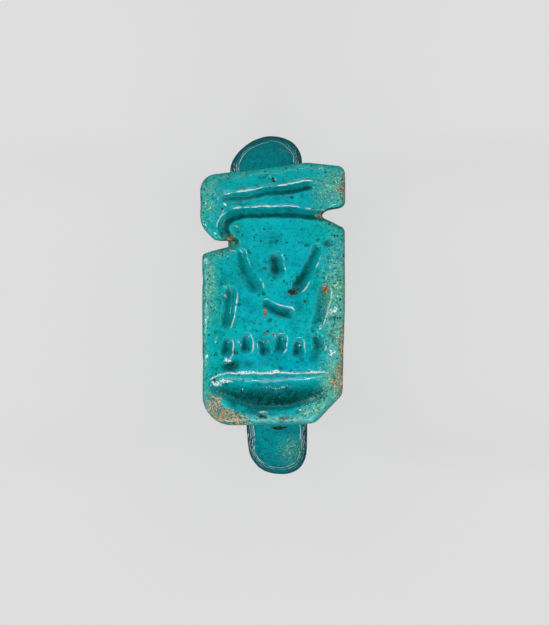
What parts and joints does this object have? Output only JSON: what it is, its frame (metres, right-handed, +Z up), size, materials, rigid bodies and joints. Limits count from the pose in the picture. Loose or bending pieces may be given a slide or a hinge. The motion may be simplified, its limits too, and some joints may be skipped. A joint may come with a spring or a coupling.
{
  "type": "seal ring",
  "caption": "Glazed finger ring: a notched tablet, pressed with rows of plain strokes, luted to a round hoop.",
  "frame": {"origin": "middle of the small flat at the back of the hoop, on which the ring rests", "axes": "+Z up to the tablet's face, +Y along the tablet towards its cap, +X through the hoop, as a finger goes"},
  "size_m": [0.0093, 0.022, 0.0223],
  "materials": {
    "turquoise_glaze": "glossy, pooled darker in the pressed strokes, thin and pale green at the edges, worn to a tan body in places"
  },
  "bodies": {
    "root": {"seal_ring": "turquoise_glaze"}
  },
  "joints": []
}
